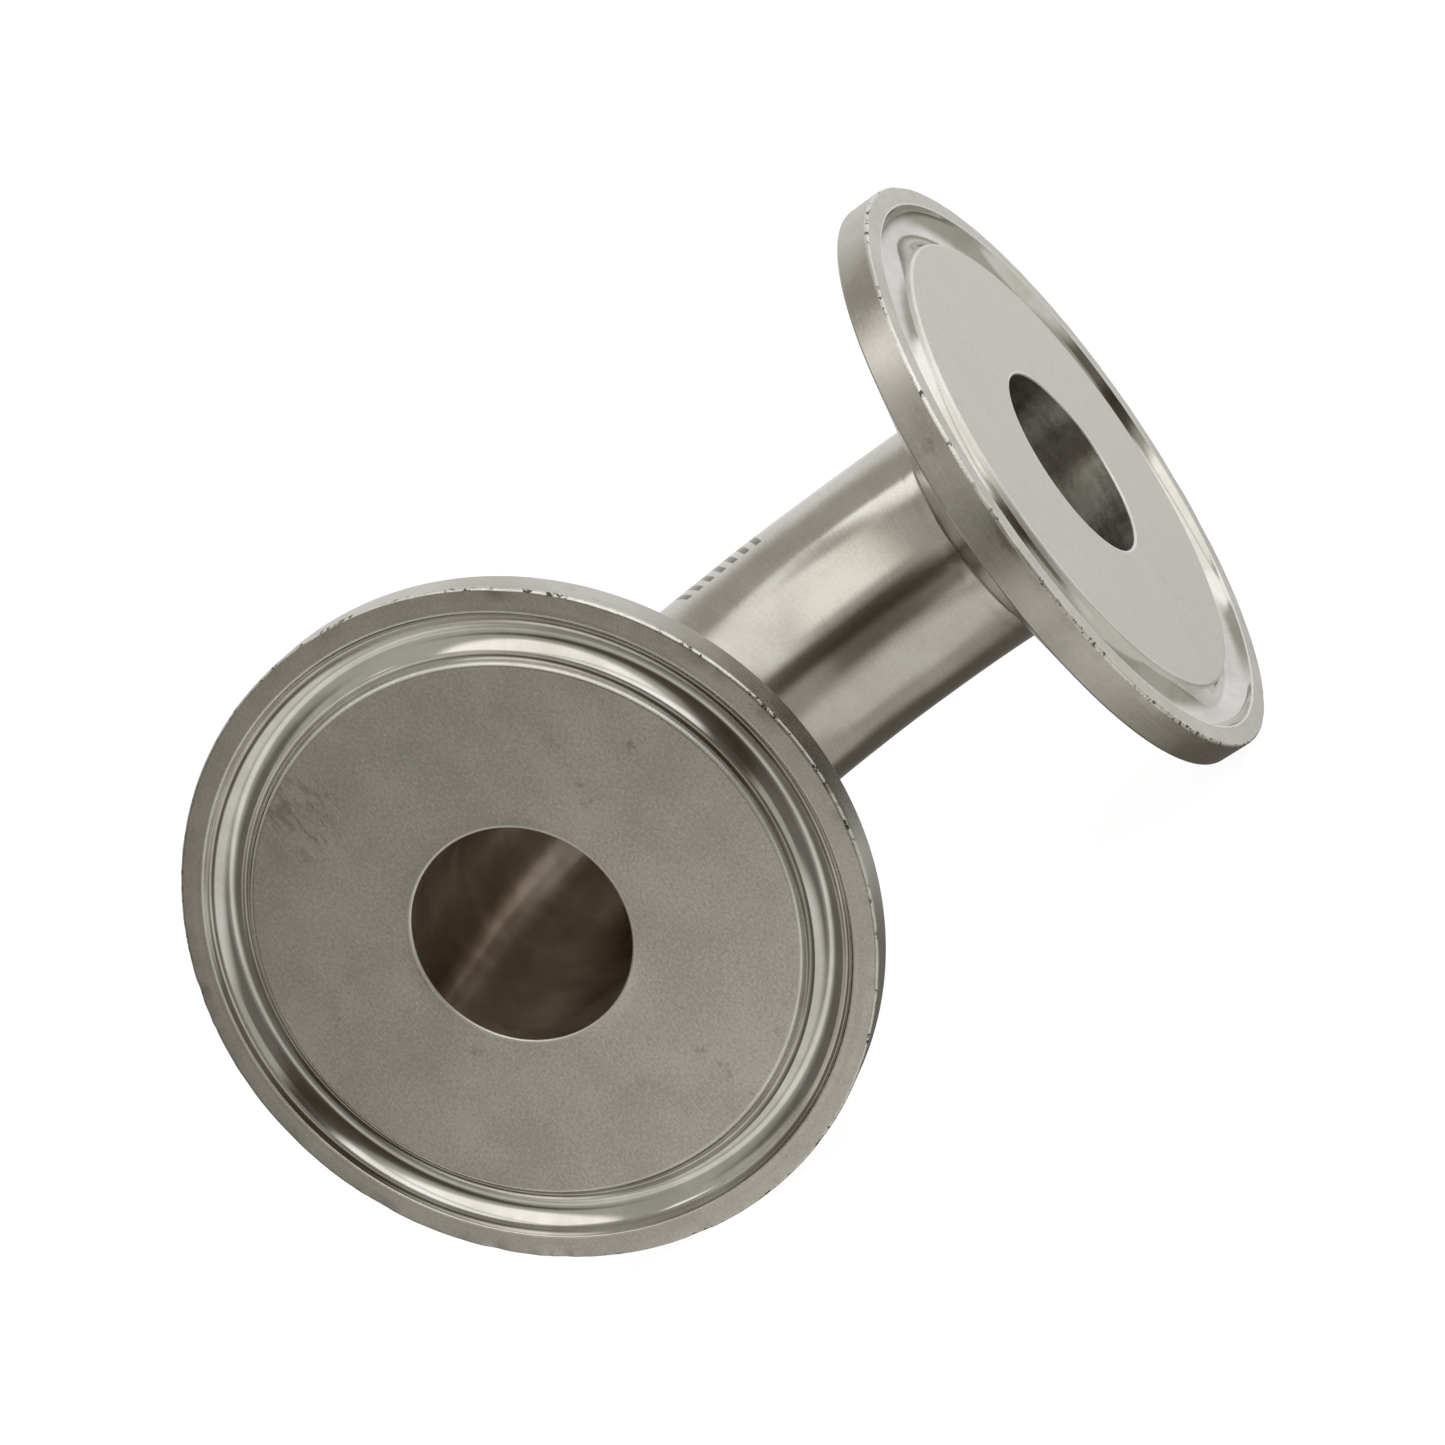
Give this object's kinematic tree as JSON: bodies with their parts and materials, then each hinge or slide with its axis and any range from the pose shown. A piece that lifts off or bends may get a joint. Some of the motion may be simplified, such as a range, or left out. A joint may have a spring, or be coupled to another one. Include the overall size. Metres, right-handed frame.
{
  "type": "sanitary clamp elbow",
  "caption": "Right-angle stainless steel tube elbow with a clamp ferrule welded to each end, each with a gasket groove and an open bore.",
  "frame": {"origin": "centre of port A's sealing face, on the bore's axis", "axes": "+X out of port A along its bore, +Y out of port B along its bore, +Z normal to the plane of the bend"},
  "size_m": [0.0661, 0.0661, 0.0506],
  "materials": {
    "turned_flange": "fine turned and sanded, with a mirror-polished gasket groove",
    "polished_tube": "polished crosswise with fine abrasive",
    "dressed_weld": "ground almost flush and polished"
  },
  "bodies": {
    "root": {"ferrule_a": "turned_flange", "ferrule_b": "turned_flange", "elbow_tube": "polished_tube", "weld_a": "dressed_weld", "weld_b": "dressed_weld"}
  },
  "joints": []
}
